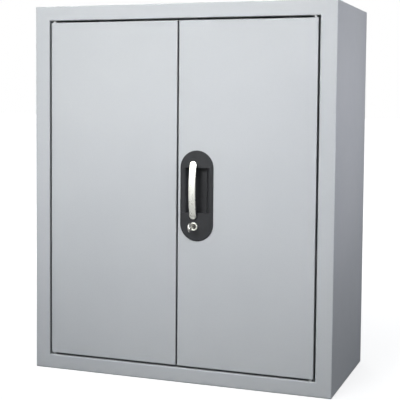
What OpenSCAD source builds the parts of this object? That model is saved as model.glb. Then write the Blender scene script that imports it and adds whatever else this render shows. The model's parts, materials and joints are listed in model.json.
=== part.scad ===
// Steel tool cabinet with two flush doors, a bow handle in a moulded finger recess and a key lock.
// The lock's pinion drives two racks, whose rods hold the right door at the top and the bottom,
// and its swing bolt holds the left door. The origin is the centre of the face it stands on,
// the doors face -Y, and +Z is up.

/* [Cabinet] */
// Outside width of the cabinet
cab_w = 672; // [600:1:760]
// Outside height of the cabinet
cab_h = 800; // [740:5:900]
// Outside depth of the cabinet
cab_d = 310; // [270:5:380]
// Thickness of the body's sheet
body_sheet = 1.5; // [1.2:0.1:1.8]
// Outside radius of the body's folds
body_fold = 2.5; // [2.2:0.1:3]
// Width of the frame's upright borders
side_border = 34.5; // [31:0.5:40]
// Height of the frame's top and bottom borders
rail_border = 31.5; // [29:0.5:38]
// Depth that the frame turns back beside the doors
frame_return = 20; // [18:0.5:21]
// Width of the lip that stiffens the frame's inner edge
frame_lip = 9; // [6:0.5:12]
// Width of the flange that carries the back sheet
rear_flange = 16; // [12:1:22]
// Thickness of the back sheet
back_sheet = 1.2; // [0.8:0.1:1.6]
// Distance between the wall fixing holes along the width
wall_hole_span = 560; // [500:10:590]
// Distance between the wall fixing holes along the height
wall_hole_rise = 640; // [560:10:700]
// Diameter of a wall fixing hole
wall_hole_d = 8.5; // [6:0.5:11]

/* [Doors] */
// Thickness of a door
door_t = 20; // [19:0.5:21]
// Thickness of a door's sheet
door_sheet = 1.2; // [1:0.1:1.4]
// Outside radius of a door's folds
door_fold = 2; // [1.6:0.1:2.4]
// Width of the lip around a door's open rear face
door_lip = 14; // [11:0.5:16]
// Gap between a door and the frame
door_gap = 4.2; // [3.6:0.1:4.6]
// Gap between the two doors
centre_gap = 3.5; // [3:0.1:4.5]
// Width of a stiffener's raised face
hat_w = 24; // [18:1:30]
// Width of a stiffener's welded flanges
hat_flange = 10; // [8:1:14]
// Distance of the outer stiffeners from the cabinet's middle
stiffener_x = 195; // [170:5:220]

/* [Hinges] */
// Distance of a hinge pin from the door's outer edge
pivot_inset = 6.5; // [6.2:0.1:6.8]
// Distance of a hinge pin behind the door's face
pivot_back = 7; // [6.8:0.1:7.2]
// Diameter of a hinge pin
pin_d = 5; // [4:0.1:5.4]
// Diameter of the collar that a door stands on
collar_d = 8; // [7:0.1:9]
// Length of a pin inside the door
pin_reach = 9; // [7:0.5:12]
// Height of a pin's riveted head
rivet_head_h = 1.6; // [1:0.1:2.5]
// Wall of the nylon bush around a pin
bush_wall = 1.2; // [0.9:0.1:1.4]
// Width that the bush's flange stands out
bush_flange = 1.2; // [0.8:0.1:1.3]
// Thickness of the bush's flange
bush_flange_t = 2; // [1.5:0.1:2.5]
// Length of a hinge bush
bush_h = 11; // [8:0.5:13]

/* [Stops] */
// Distance of the stop rails behind the cabinet's face
stop_back = 38; // [37:0.5:42]
// Length of a stop rail
stop_rail_w = 250; // [230:5:300]
// Height of a stop rail beyond the frame's border
stop_rail_drop = 20; // [18:1:26]
// Foot width of a stop rail
stop_rail_foot = 22; // [16:1:30]
// Distance of the catches and bumpers from the cabinet's middle
catch_x = 86; // [80:1:95]
// Width of a magnetic catch
catch_w = 46; // [36:1:54]
// Height of a magnetic catch
catch_h = 14; // [10:0.5:15]
// Distance of the pole plates from the ends of a catch
pole_end = 4; // [3:0.5:6]
// Distance of the pole plates from a catch's upper and lower face
pole_inset = 3; // [2.4:0.1:3.4]
// Thickness of the case behind the pole plates
pole_seat = 3; // [2:0.5:5]
// Corner radius of a catch
catch_corner = 2; // [1:0.5:3]
// Thickness of a catch's pole plates
pole_t = 1.2; // [0.8:0.1:1.6]
// Length that the pole plates stand out of the case
pole_out = 0.8; // [0.4:0.1:1.2]
// Thickness of the strike plate on a door
strike_t = 1.5; // [1:0.1:2]
// Diameter of a rubber bumper
bumper_d = 12; // [9:0.5:13]
// How much a bumper narrows towards its tip, on each side
bumper_taper = 1; // [0.4:0.1:1.4]
// Radius along a bumper's tip
bumper_round = 2; // [1:0.1:2.6]

/* [Shelves] */
// Distance of the shelves' front edge behind the cabinet's face
shelf_front = 46; // [44:1:60]
// Gap between a shelf and the back sheet
shelf_rear_gap = 3; // [2:0.5:8]
// Height of a shelf's turned down edge
shelf_edge = 25; // [20:1:30]
// Thickness of the shelf sheet
shelf_sheet = 1.2; // [1:0.1:1.5]
// Width of the lip under a shelf's edge
shelf_lip = 12; // [9:0.5:16]
// Width of a slotted upright
upright_w = 25; // [22:1:30]
// Depth of a slotted upright
upright_d = 10; // [9:0.5:14]
// Thickness of an upright's sheet
upright_sheet = 1.5; // [1.2:0.1:1.8]
// Distance of the front uprights behind the cabinet's face
upright_front = 80; // [75:1:95]
// Distance of the rear uprights in front of the cabinet's rear
upright_rear = 40; // [34:1:60]
// Height of the lowest slot
slot_first = 60; // [54:1:70]
// Distance between two slots
slot_pitch = 40; // [36:1:44]
// Height of a slot
slot_h = 4.4; // [4:0.1:5]
// Width of a slot
slot_w = 14; // [13:0.5:15]
// Which slot from the bottom carries the lower shelf
lower_slot = 5; // [4:1:6]
// Which slot from the bottom carries the upper shelf
upper_slot = 11; // [10:1:12]
// Width of a shelf clip
clip_w = 12; // [10:0.5:12.5]
// Length of a clip's supporting tab
clip_tab = 15; // [12:0.5:20]
// Height of a clip's seat above its slot
clip_rise = 7; // [6:0.5:9]
// Length of a clip below its slot
clip_drop = 12; // [9:0.5:14]
// Length of a clip's hook behind the slot
clip_hook = 5; // [4:0.5:7]

/* [Escutcheon] */
// Width of the moulded escutcheon
dish_w = 73; // [71:0.2:75]
// Length of the escutcheon
dish_len = 190.2; // [186:0.2:196]
// Distance of the escutcheon's middle from the cabinet's middle
dish_x = 44; // [42:0.1:46]
// Height of the escutcheon's middle
dish_z = 399.2; // [370:0.1:430]
// Height of the escutcheon's face over the door
dish_proud = 2.5; // [2:0.1:3]
// Radius along the escutcheon's edge
dish_edge = 1.8; // [1:0.1:1.9]
// Wall of the moulding behind the door's face
dish_wall = 2.2; // [1.8:0.1:2.6]
// Width of the rim that rests on the door
dish_rim = 4; // [3:0.1:5]
// Depth of the moulding's skirt inside the door
dish_skirt = 8; // [6:0.5:10]
// Width of the finger recess at its mouth
recess_mouth = 66; // [62:0.5:67]
// Width of the finger recess at its shoulders
recess_shoulder = 51; // [48:0.5:54]
// Depth of the shoulders below the escutcheon's face
shoulder_depth = 2; // [1.5:0.1:3]
// Width of the finger recess at its floor
recess_floor = 38; // [34:0.5:42]
// Radius along the bends of the recess
recess_fillet = 4; // [3:0.5:5]
// Height of the finger recess
recess_h = 94.4; // [88:0.1:95]
// Height of the recess's middle over the escutcheon's middle
recess_rise = 11.6; // [10.8:0.1:12]
// Depth of the recess below the escutcheon's face
recess_depth = 15; // [12:0.5:16]
// Thickness of the ribs behind the escutcheon
dish_rib = 1.8; // [1.2:0.1:2.4]
// Distance of the ribs from the escutcheon's ends
rib_inset = 13; // [11:0.5:14]
// Length of a snap hook
snap_len = 8; // [5:0.5:10]
// Height of a snap hook
snap_h = 2.4; // [2:0.1:3]
// Width that a snap hook stands out of the skirt
snap_out = 1.5; // [1:0.1:2]
// Height of the snap hooks over and under the escutcheon's middle
snap_rise = 50; // [44:1:53]

/* [Handle] */
// Distance of the handle and lock from the cabinet's middle
handle_x = 38; // [37:0.1:39]
// Length of the handle
handle_len = 122.5; // [118:0.5:125]
// Width of the handle's bar
handle_w = 15.2; // [14:0.2:17]
// Thickness of the handle's bar
handle_t = 6; // [5:0.1:7]
// Radius along the bar's edges
handle_edge = 2.6; // [1.8:0.1:2.9]
// Height of the handle's middle over the door
handle_proud = 16.3; // [15:0.1:18]
// How much higher the handle's middle stands than its ends
handle_bow = 8.5; // [7.5:0.1:9]
// Height of the handle's middle over the escutcheon's middle
handle_rise = 12.3; // [11:0.1:14]
// Diameter of a handle foot
foot_d = 11; // [9:0.1:11.4]
// Diameter of a handle screw
handle_screw_d = 4; // [3:0.1:4.2]
// Depth of the screw holes in the feet
handle_screw_grip = 4.5; // [3.5:0.1:4.8]
// Diameter of a handle screw's head
handle_head_d = 6; // [5.4:0.1:6.4]
// Height of a handle screw's head
handle_head_h = 2.4; // [1.8:0.1:3]

/* [Lock] */
// Distance of the lock below the escutcheon's middle
lock_drop = 64.2; // [62:0.1:66]
// Diameter of the lock's collar
lock_collar_d = 17.6; // [17:0.1:20]
// Thickness of the lock's collar
lock_collar_t = 2; // [1.5:0.1:2.5]
// Chamfer along the collar's edge
collar_chamfer = 0.8; // [0.4:0.1:1]
// Distance of the plug's face behind the collar's face
plug_inset = 1.2; // [0.6:0.1:1.6]
// Diameter of the lock's barrel
barrel_d = 16; // [15:0.1:16.4]
// Diameter of the plug that the key turns
plug_d = 11; // [10:0.1:12]
// Length of the barrel behind the door's face
barrel_back = 11; // [10.5:0.1:11.4]
// Width across the flats of the barrel's nut
nut_af = 22; // [20:0.5:23]
// Thickness of the barrel's nut
nut_t = 4; // [3:0.1:5]
// Diameter of the spindle behind the plug
spindle_d = 8; // [7:0.1:8.6]
// Width across the spindle's two flats
spindle_flat = 6; // [5.4:0.1:6.6]
// Length of the spindle beyond the rack cover
spindle_past = 2; // [1:0.5:4]
// Thickness of the ring that holds the pinion
ring_t = 1; // [0.8:0.1:1.4]
// Width of the ring around the spindle
ring_w = 2.5; // [2:0.1:3.5]
// Length of the swing bolt from the spindle
bolt_reach = 50; // [47:0.5:52]
// Width of the swing bolt at its hub
bolt_w = 16; // [14:0.5:18]
// Width of the swing bolt at its tip
bolt_tip_w = 11; // [9:0.5:12]
// Thickness of the swing bolt
bolt_t = 2.5; // [2:0.1:3]
// Width of the slot that lets the bolt through a door's edge
bolt_slot_w = 5.4; // [5:0.1:6]
// Length of that slot over the bolt's hub
bolt_slot_over = 1.5; // [1:0.1:3]
// Length of that slot under the place where the bolt comes in
bolt_slot_under = 6.8; // [6:0.1:9]
// Thickness of the key
key_t = 2.2; // [1.8:0.1:2.5]
// Width of the key's head
key_head_d = 19; // [17:0.5:21]
// Width of the key's blade
key_blade = 7; // [6:0.1:7.4]
// Distance from the lock's face to the key's far end
key_out = 29; // [26:0.5:33]
// Hole for the key ring
key_ring_d = 6; // [4:0.5:7]
// Width that the key's head stands over its blade on each side
key_shoulder = 1; // [0.5:0.1:1.5]
// Thickness of the plug behind the keyway
keyway_end = 1; // [0.8:0.1:1.5]
// Number of cuts in the key's blade
key_cuts = 5; // [3:1:5]
// Distance between two cuts
key_cut_pitch = 2.1; // [1.9:0.1:2.2]
// Size of the shallowest cut
key_cut_size = 1.6; // [1.4:0.1:1.8]
// Growth of a cut from one depth to the next
key_cut_step = 0.5; // [0.3:0.1:0.6]

/* [Gear and rods] */
// Module of the pinion and racks
gear_module = 1.5; // [1.4:0.05:1.55]
// Number of teeth on the pinion
pinion_teeth = 12; // [11:1:12]
// Pressure angle of the teeth
pressure = 25; // [24:0.5:26]
// Thickness of the pinion and racks
gear_t = 5; // [4:0.1:5.2]
// Play between the teeth
backlash = 0.2; // [0.15:0.01:0.3]
// Distance of the gears' middle plane behind the door's face
gear_back = 27.5; // [27.3:0.1:28]
// Width of a rack behind its teeth
rack_body = 6.5; // [6:0.1:7]
// Number of rack teeth on the side that passes the pinion
rack_teeth_run = 5; // [5:1:6]
// Number of rack teeth on the side towards the rod
rack_teeth_end = 2; // [2:1:3]
// Height of the arm that joins a rack to its rod
arm_h = 10; // [8:0.5:12]
// Height of the socket that holds a rod
socket_h = 12; // [10:0.5:15]
// Diameter of a rod's socket
socket_d = 11; // [10.4:0.1:11.2]
// Diameter of a rod
rod_d = 8; // [7:0.1:8.4]
// Diameter of a rod's end inside its socket
rod_end_d = 6; // [5:0.1:6.2]
// Sideways distance of a rod from the pinion's axis
rod_offset = 2; // [1.5:0.1:2.2]
// Distance of a drawn back rod from the frame
rod_clear = 1.2; // [1:0.1:1.6]
// Chamfer at a rod's tip
rod_chamfer = 1.4; // [0.8:0.1:2]
// Height of a rod guide
guide_h = 14; // [10:0.5:16]
// Width of a rod guide
guide_w = 26; // [22:0.5:30]
// Wall of a rod guide behind the rod
guide_wall = 3; // [2:0.1:4]
// Distance of a guide's screws from its ends
guide_screw_inset = 3.6; // [3.2:0.1:4.4]
// Thickness of the lock plate
plate_t = 1.5; // [1.2:0.1:1.6]
// Height of the lock plate
plate_h = 124; // [118:1:132]
// Corner radius of the lock plate and the rack cover
plate_corner = 3; // [2:0.5:5]
// Distance of the lock plate's screws from its ends
plate_screw_inset = 8; // [6:0.5:12]
// Thickness of the rack cover
cover_t = 1.2; // [1:0.1:1.5]
// Height of the rack guides and cover
case_h = 100; // [96:1:104]
// Width of a rack guide
rack_guide_w = 7; // [6:0.1:8]
// Width by which a guide wraps round a rack's edge
guide_wrap = 1.6; // [1.2:0.1:2]
// Distance of the cover's screws from its ends
cover_screw_inset = 6; // [5:0.5:8]

/* [Screws] */
// Diameter of the lock plate's screws
plate_screw_d = 4; // [3.5:0.1:4.5]
// Diameter of their heads
plate_head_d = 7; // [6:0.1:8]
// Height of their heads
plate_head_h = 2.2; // [1.6:0.1:2.6]
// Diameter of the small screws
small_screw_d = 3; // [2.6:0.1:3.4]
// Diameter of a small screw's head
small_head_d = 5.6; // [5:0.1:6]
// Height of a small screw's head
small_head_h = 1.8; // [1.4:0.1:2.2]
// Length of a small screw in a rack guide
small_grip = 6; // [5:0.5:7]

/* [Clearances] */
// Radial clearance of running fits
run_fit = 0.06; // [0.03:0.01:0.08]
// Gap where moving parts pass each other
slip_gap = 0.3; // [0.2:0.05:0.4]
// Gap where a fixed piece clears a fold or an edge
seat_gap = 1.2; // [1.1:0.1:1.5]
// Gap between the lock's barrel and the swing bolt
bolt_gap = 0.7; // [0.5:0.1:0.9]
// Play of a rack between the walls of its guide
rack_play = 0.15; // [0.1:0.05:0.25]
// What a screw hole is wider than its screw
screw_play = 0.1; // [0.1:0.05:0.3]

/* [Hidden] */
round_fn = 64;
small_fn = 40;
bow_fn = 360;
bend_steps = 4;
bend_inside = 0.8;
cut = 1;
open_w = cab_w / 2 - side_border;
open_low = rail_border;
open_high = cab_h - rail_border;
wall_inside = cab_w / 2 - body_sheet;
door_outer = open_w - door_gap;
door_inner = centre_gap / 2;
door_w = door_outer - door_inner;
door_low = open_low + door_gap;
door_high = open_high - door_gap;
door_h = door_high - door_low;
door_mid_x = (door_outer + door_inner) / 2;
door_mid_z = (door_low + door_high) / 2;
pivot_x = door_outer - pivot_inset;
bush_d = pin_d + 2 * run_fit + 2 * bush_wall;
collar_h = door_gap - slip_gap;
back_face = cab_d - body_sheet - back_sheet;
upright_face = wall_inside - upright_d;
upright_low = slot_first - slot_pitch / 2;
upright_high = open_high - slot_pitch / 4;
slot_count = floor((upright_high - slot_h - slot_first) / slot_pitch) + 1;
shelf_w = 2 * (upright_face - upright_sheet - slip_gap);
shelf_d = back_face - shelf_rear_gap - shelf_front;
shelf_mid = shelf_front + shelf_d / 2;
rear_upright_mid = cab_d - upright_rear;
strike_back = door_t + strike_t;
catch_front = strike_back + slip_gap;
catch_depth = stop_back - catch_front - pole_out;
catch_z = door_high - door_lip / 2;
bumper_z = door_low + door_lip / 2;
dish_r = dish_w / 2;
dish_span = dish_len - dish_w;
skirt_r = dish_r - dish_rim;
recess_slope = (recess_mouth - recess_shoulder) / 2 / shoulder_depth;
handle_local_x = handle_x - dish_x;
handle_end = (handle_len - handle_w) / 2;
bow_r = (pow(handle_len / 2, 2) + pow(handle_bow, 2)) / (2 * handle_bow);
bow_angle = asin(handle_end / (bow_r - handle_t / 2));
lock_z = dish_z - lock_drop;
key_tip = keyway_end + slip_gap - barrel_back;
lock_face = dish_proud + lock_collar_t;
plug_hole_d = plug_d + 2 * run_fit;
bolt_back = barrel_back + bolt_gap;
bolt_drop = sqrt(pow(bolt_reach, 2) - pow(handle_x - door_inner - door_sheet, 2));
plate_back = door_t + plate_t;
gear_front = gear_back - gear_t / 2;
gear_rear = gear_back + gear_t / 2;
pitch_r = gear_module * pinion_teeth / 2;
addendum = 0.8 * gear_module;
dedendum = gear_module;
tooth_pitch = PI * gear_module;
rack_run = rack_teeth_run * tooth_pitch;
rack_end = rack_teeth_end * tooth_pitch;
rack_back = dedendum + rack_body;
arm_start = rack_run + cut;
arm_top = arm_start + arm_h;
rod_travel = pitch_r * PI / 2;
cover_back = gear_back + socket_d / 2 + slip_gap;
plate_left = door_inner + door_fold;
channel_x = dish_x + dish_r + hat_flange + hat_w / 2 + seat_gap;
plate_right = channel_x + hat_w / 2;
guide_x = pitch_r + rack_back + slip_gap;
guide_low = gear_back + rod_d / 2 + guide_wall;

// Unit vector from one point to another
function towards(a, b) = (b - a) / norm(b - a);
// A direction turned a quarter to the left
function left_of(d) = [-d[1], d[0]];
// A vector turned by an angle
function turned(v, a) = [v[0] * cos(a) - v[1] * sin(a), v[0] * sin(a) + v[1] * cos(a)];
// Signed radius of a bend on the path's own side of the sheet
function path_radius(angle, fold, sheet) = angle > 0 ? fold : sheet - fold;
// Points round one bend, on the face that lies inset from the path
function bend_points(a, b, c, inset, fold, sheet) =
    let (d = towards(a, b), e = towards(b, c))
    let (angle = atan2(cross(d, e), d * e))
    let (radius = path_radius(angle, fold, sheet))
    let (centre = b - d * radius * tan(angle / 2) + left_of(d) * radius)
    [for (i = [0:bend_steps]) centre - turned(left_of(d), angle * i / bend_steps) * (radius - inset)];
// One face of a folded sheet, from the path's first point to its last
function sheet_face(path, inset, fold, sheet) =
    let (n = len(path) - 1)
    concat(
        [path[0] + left_of(towards(path[0], path[1])) * inset],
        [for (k = [1:n - 1]) each bend_points(path[k - 1], path[k], path[k + 1], inset, fold, sheet)],
        [path[n] + left_of(towards(path[n - 1], path[n])) * inset]);
function reversed(list) = [for (i = [len(list) - 1:-1:0]) list[i]];
// Rectangle with rounded corners
function rounded_box(x0, y0, x1, y1, r) =
    [for (corner = [[x1 - r, y1 - r, 0], [x0 + r, y1 - r, 90], [x0 + r, y0 + r, 180], [x1 - r, y0 + r, 270]])
        for (i = [0:bend_steps])
            let (a = corner[2] + 90 * i / bend_steps)
            [corner[0] + r * cos(a), corner[1] + r * sin(a)]];
// Rolling angle of an involute at a pressure angle
function involute(a) = tan(a) * 180 / PI - a;

module folded(path, sheet, fold) {
    polygon(concat(sheet_face(path, 0, fold, sheet), reversed(sheet_face(path, sheet, fold, sheet))));
}
// Moves to the cabinet's front plane, so that +Y counts the distance behind it
module behind_front() {
    translate([0, -cab_d / 2, 0]) children();
}
// A local frame on the doors' face, with X to the right, Y up and Z towards the person in front
module on_face(x, z) {
    behind_front() translate([x, 0, z]) rotate([90, 0, 0]) children();
}
module both_ways(axis) {
    children();
    mirror(axis) children();
}
// Round bar or hole along Z between two heights
module post(d, low, high, fn = round_fn) {
    translate([0, 0, low]) cylinder(h = high - low, d = d, $fn = fn);
}
module slab(low, high) {
    translate([0, 0, low]) linear_extrude(high - low) children();
}
module stadium(r, span) {
    for (end = [-1, 1]) translate([0, end * span / 2]) circle(r, $fn = round_fn);
    square([2 * r, span], center = true);
}

// Body: four folded walls with mitred corners, welded into one frame
module wall_section(reach, border) {
    inner = reach - border;
    folded([[inner + frame_lip, frame_return], [inner, frame_return], [inner, 0], [reach, 0],
        [reach, cab_d], [reach - rear_flange, cab_d]], body_sheet, body_fold);
}
// The mitre's cut runs a fifth past the border's inner edge
module mitred_outline(reach, border, half_len, end_border) {
    deep = 1.2;
    intersection() {
        polygon([[reach, -half_len], [reach, half_len],
            [reach - deep * border, half_len - deep * end_border],
            [reach - deep * border, deep * end_border - half_len]]);
        polygon(rounded_box(-reach, -half_len, reach, half_len, body_fold));
    }
}
module wall(reach, border, half_len, end_border) {
    behind_front() translate([0, 0, cab_h / 2]) intersection() {
        linear_extrude(2 * half_len, center = true) wall_section(reach, border);
        translate([0, cab_d + cut, 0]) rotate([90, 0, 0]) linear_extrude(cab_d + 2 * cut)
            mitred_outline(reach, border, half_len, end_border);
    }
}
module side_wall() {
    wall(cab_w / 2, side_border, cab_h / 2, rail_border);
}
module end_wall() {
    translate([0, 0, cab_h / 2]) rotate([0, -90, 0]) translate([0, 0, -cab_h / 2])
        wall(cab_h / 2, rail_border, cab_w / 2, side_border);
}
module pin_holes() {
    behind_front() both_ways([1, 0, 0]) translate([pivot_x, pivot_back, 0])
        post(pin_d + 2 * run_fit, -cut, rail_border + cut, small_fn);
}
module left_side() {
    color("silver") mirror([1, 0, 0]) side_wall();
}
module right_side() {
    color("silver") side_wall();
}
module top_panel() {
    color("silver") difference() {
        end_wall();
        intersection() {
            translate([0, 0, cab_h]) mirror([0, 0, 1]) pin_holes();
            translate([-cab_w / 2, -cab_d / 2, open_high - cut]) cube([cab_w, cab_d, 2 * body_sheet + cut]);
        }
    }
}
module bottom_panel() {
    color("silver") difference() {
        translate([0, 0, cab_h]) mirror([0, 0, 1]) end_wall();
        intersection() {
            pin_holes();
            translate([-cab_w / 2, -cab_d / 2, open_low - 2 * body_sheet])
                cube([cab_w, cab_d, 2 * body_sheet + cut]);
        }
    }
}
module back_panel() {
    half_w = wall_inside - seat_gap;
    color("silver") behind_front() difference() {
        translate([-half_w, back_face, body_sheet + seat_gap])
            cube([2 * half_w, back_sheet, cab_h - 2 * body_sheet - 2 * seat_gap]);
        for (x = [-1, 1]) for (z = [-1, 1])
            translate([x * wall_hole_span / 2, cab_d, cab_h / 2 + z * wall_hole_rise / 2])
                rotate([90, 0, 0]) post(wall_hole_d, -cut, cab_d - back_face + cut);
    }
}

// Slotted uprights, the clips that hook into them and the shelves
module upright(mid) {
    difference() {
        slab(upright_low, upright_high)
            folded([[wall_inside, mid + upright_w / 2], [upright_face, mid + upright_w / 2],
                [upright_face, mid - upright_w / 2], [wall_inside, mid - upright_w / 2]],
                upright_sheet, upright_sheet + bend_inside);
        for (k = [0:slot_count - 1])
            translate([upright_face - cut, mid - slot_w / 2, slot_first + k * slot_pitch - slot_h / 2])
                cube([upright_sheet + 2 * cut, slot_w, slot_h]);
    }
}
module upright_pair() {
    color("silver") behind_front() {
        upright(upright_front);
        upright(rear_upright_mid);
    }
}
module left_uprights() {
    mirror([1, 0, 0]) upright_pair();
}
module right_uprights() {
    upright_pair();
}
function slot_z(k) = slot_first + k * slot_pitch;
function shelf_top(k) = slot_z(k) + clip_rise + shelf_edge;
// A folded tray with a closed face at z = 0 and an open rear face with a lip all round
module tray_solid(w, h, depth, fold) {
    intersection() {
        rotate([90, 0, 0]) linear_extrude(h, center = true)
            polygon(rounded_box(-w / 2, -depth, w / 2, 0, fold));
        rotate([90, 0, 90]) linear_extrude(w, center = true)
            polygon(rounded_box(-h / 2, -depth, h / 2, 0, fold));
    }
}
module tray(w, h, depth, sheet, fold, lip) {
    difference() {
        tray_solid(w, h, depth, fold);
        translate([0, 0, -sheet]) tray_solid(w - 2 * sheet, h - 2 * sheet, depth - 2 * sheet, fold - sheet);
        translate([lip - w / 2, lip - h / 2, -depth - cut]) cube([w - 2 * lip, h - 2 * lip, depth / 2]);
    }
}
module shelf(k) {
    color("silver") behind_front() translate([0, shelf_mid, shelf_top(k)])
        tray(shelf_w, shelf_d, shelf_edge, shelf_sheet, shelf_sheet + bend_inside, shelf_lip);
}
module lower_shelf() {
    shelf(lower_slot);
}
module upper_shelf() {
    shelf(upper_slot);
}
module clip(mid, z) {
    hook_x = upright_face + upright_sheet + slip_gap;
    neck = slot_h * 2 / 3;
    translate([0, mid + clip_w / 2, z]) rotate([90, 0, 0]) linear_extrude(clip_w) {
        folded([[upright_face, -clip_drop], [upright_face, clip_rise], [upright_face - clip_tab, clip_rise]],
            upright_sheet, upright_sheet + bend_inside);
        translate([upright_face - upright_sheet, -neck / 2])
            square([hook_x - upright_face + 2 * upright_sheet, neck]);
        translate([hook_x, neck / 2 - clip_hook]) square([upright_sheet, clip_hook]);
    }
}
module shelf_clips() {
    color("gainsboro") behind_front() both_ways([1, 0, 0])
        for (k = [lower_slot, upper_slot]) for (mid = [upright_front, rear_upright_mid])
            clip(mid, slot_z(k));
}

// Stop rails behind the doors, with magnetic catches above and rubber bumpers below
module stop_rail() {
    color("silver") behind_front() translate([-stop_rail_w / 2, 0, 0]) rotate([90, 0, 90])
        linear_extrude(stop_rail_w)
        folded([[stop_back, rail_border + stop_rail_drop], [stop_back, body_sheet],
            [stop_back + stop_rail_foot, body_sheet]], body_sheet, body_fold);
}
module bottom_stop_rail() {
    stop_rail();
}
module top_stop_rail() {
    translate([0, 0, cab_h]) mirror([0, 0, 1]) stop_rail();
}
// The two pole plates, from their seat in the case to a distance before its front
module pole_pair(out) {
    for (side = [-1, 1])
        translate([pole_end - catch_w / 2, side * (catch_h / 2 - pole_inset) - pole_t / 2, pole_seat])
            cube([catch_w - 2 * pole_end, pole_t, catch_depth - pole_seat + out]);
}
module at_catches() {
    behind_front() for (side = [-1, 1])
        translate([side * catch_x, stop_back, catch_z]) rotate([90, 0, 0]) children();
}
module catch_cases() {
    color("dimgray") at_catches() difference() {
        slab(0, catch_depth)
            polygon(rounded_box(-catch_w / 2, -catch_h / 2, catch_w / 2, catch_h / 2, catch_corner));
        pole_pair(cut);
    }
}
module catch_poles() {
    color("silver") at_catches() pole_pair(pole_out);
}
// A bumper's foot is a shallow cone that carries a round pad
module bumper() {
    reach = stop_back - door_t - slip_gap;
    tip_r = bumper_d / 2 - bumper_taper - bumper_round;
    rotate_extrude($fn = round_fn)
        polygon(concat([[0, 0], [bumper_d / 2, 0]],
            [for (i = [0:bend_steps]) let (a = 90 * i / bend_steps)
                [tip_r + bumper_round * cos(a), reach - bumper_round + bumper_round * sin(a)]],
            [[0, reach]]));
}
module rubber_bumpers() {
    color("dimgray") behind_front() for (side = [-1, 1])
        translate([side * catch_x, stop_back, bumper_z]) rotate([90, 0, 0]) bumper();
}

// Hinges: a riveted pin with a collar at each corner, running in a nylon bush
module hinge_pin() {
    post(pin_d, open_low - body_sheet, door_low + pin_reach, small_fn);
    post(collar_d, open_low, open_low + collar_h, small_fn);
    post(collar_d, open_low - body_sheet - rivet_head_h, open_low - body_sheet, small_fn);
}
module hinge_pins() {
    color("gainsboro") behind_front() both_ways([1, 0, 0]) translate([pivot_x, pivot_back, 0]) {
        hinge_pin();
        translate([0, 0, cab_h]) mirror([0, 0, 1]) hinge_pin();
    }
}
module hinge_bush() {
    difference() {
        union() {
            post(bush_d, door_low, door_low + bush_h, small_fn);
            post(bush_d + 2 * bush_flange, door_low + door_sheet,
                door_low + door_sheet + bush_flange_t, small_fn);
        }
        post(pin_d + 2 * run_fit, door_low - cut, door_low + pin_reach + slip_gap, small_fn);
    }
}
module hinge_bushes() {
    color("ivory") behind_front() translate([pivot_x, pivot_back, 0]) {
        hinge_bush();
        translate([0, 0, cab_h]) mirror([0, 0, 1]) hinge_bush();
    }
}
module left_hinge_bushes() {
    mirror([1, 0, 0]) hinge_bushes();
}
module right_hinge_bushes() {
    hinge_bushes();
}

// Doors: folded trays with a bush hole above and below, a bolt slot in the inner edge
module bush_holes() {
    behind_front() translate([pivot_x, pivot_back, 0]) {
        post(bush_d + 2 * run_fit, door_low - cut, door_low + door_sheet + cut, small_fn);
        post(bush_d + 2 * run_fit, door_high - door_sheet - cut, door_high + cut, small_fn);
    }
}
module bolt_slot() {
    middle = bolt_back + bolt_t / 2;
    low = lock_z - bolt_drop - bolt_slot_under;
    behind_front() translate([door_inner - cut, middle - bolt_slot_w / 2, low])
        cube([door_sheet + 2 * cut, bolt_slot_w, lock_z + bolt_w / 2 + bolt_slot_over - low]);
}
module door_tray() {
    difference() {
        on_face(door_mid_x, door_mid_z) tray(door_w, door_h, door_t, door_sheet, door_fold, door_lip);
        bush_holes();
        bolt_slot();
    }
}
module left_door_panel() {
    color("silver") mirror([1, 0, 0]) door_tray();
}
module right_door_panel() {
    color("silver") difference() {
        door_tray();
        on_face(dish_x, dish_z) slab(-door_sheet - cut, cut) stadium(skirt_r + slip_gap, dish_span);
    }
}
// A hat shaped channel, welded to the inside of a door's face
module hat_channel(x) {
    deep = door_t - 2 * door_sheet;
    length = door_h - 2 * door_lip - 2 * seat_gap;
    color("silver") on_face(x, door_mid_z) translate([0, length / 2, -door_sheet]) rotate([90, 0, 0])
        linear_extrude(length)
        folded([[hat_w / 2 + hat_flange, 0], [hat_w / 2 - door_sheet, 0], [hat_w / 2 - door_sheet, -deep],
            [door_sheet - hat_w / 2, -deep], [door_sheet - hat_w / 2, 0], [-hat_w / 2 - hat_flange, 0]],
            door_sheet, door_sheet + bend_inside);
}
module left_door_stiffener() {
    hat_channel(-stiffener_x);
}
module right_door_stiffener() {
    hat_channel(stiffener_x);
}
module lock_channel() {
    hat_channel(channel_x);
}
module strike_plate() {
    color("gainsboro") on_face(catch_x, catch_z) difference() {
        slab(-strike_back, -door_t)
            polygon(rounded_box(seat_gap - catch_w / 2, seat_gap - door_lip / 2, catch_w / 2 - seat_gap,
                door_lip / 2 - door_fold, strike_t));
        for (side = [-1, 1]) translate([side * (catch_w / 2 - pole_end - small_screw_d), 0, 0])
            post(small_screw_d + screw_play, -strike_back - cut, -door_t + cut, small_fn);
    }
}
module right_strike_plate() {
    strike_plate();
}
module left_strike_plate() {
    mirror([1, 0, 0]) strike_plate();
}

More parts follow.
